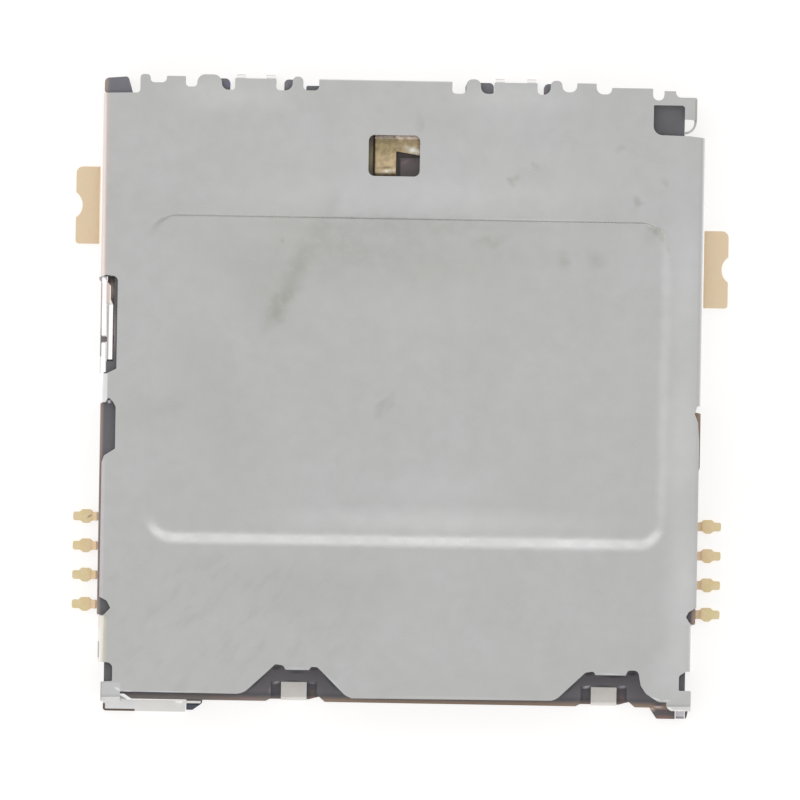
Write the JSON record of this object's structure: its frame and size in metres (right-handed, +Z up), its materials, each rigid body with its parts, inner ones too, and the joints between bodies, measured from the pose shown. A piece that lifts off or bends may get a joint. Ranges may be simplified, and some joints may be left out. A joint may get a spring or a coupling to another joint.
{
  "type": "micro sim card socket",
  "caption": "Low surface-mount socket that takes a micro SIM card in a tray under a folded steel shell, with sprung card contacts and a card-detect switch.",
  "frame": {"origin": "middle of the underside, on the board plane", "axes": "+Z up from the board, -Y towards the side where the card tray goes in, +X to the right seen from above with the tray side nearest"},
  "size_m": [0.0178, 0.0174, 0.0014],
  "materials": {
    "shell_steel": "satin rolled stainless sheet",
    "housing_plastic": "matt moulded",
    "contact_gold": "thin gold plating, satin",
    "tab_tin": "matt tin plating"
  },
  "bodies": {
    "root": {"shell": "shell_steel", "housing": "housing_plastic", "contact_c1": "contact_gold", "contact_c2": "contact_gold", "contact_c3": "contact_gold", "contact_c4": "contact_gold", "contact_c5": "contact_gold", "contact_c6": "contact_gold", "contact_c7": "contact_gold", "contact_c8": "contact_gold", "detect_spring": "contact_gold", "detect_contact": "contact_gold", "front_tab_left": "tab_tin", "front_tab_right": "tab_tin"}
  },
  "joints": []
}
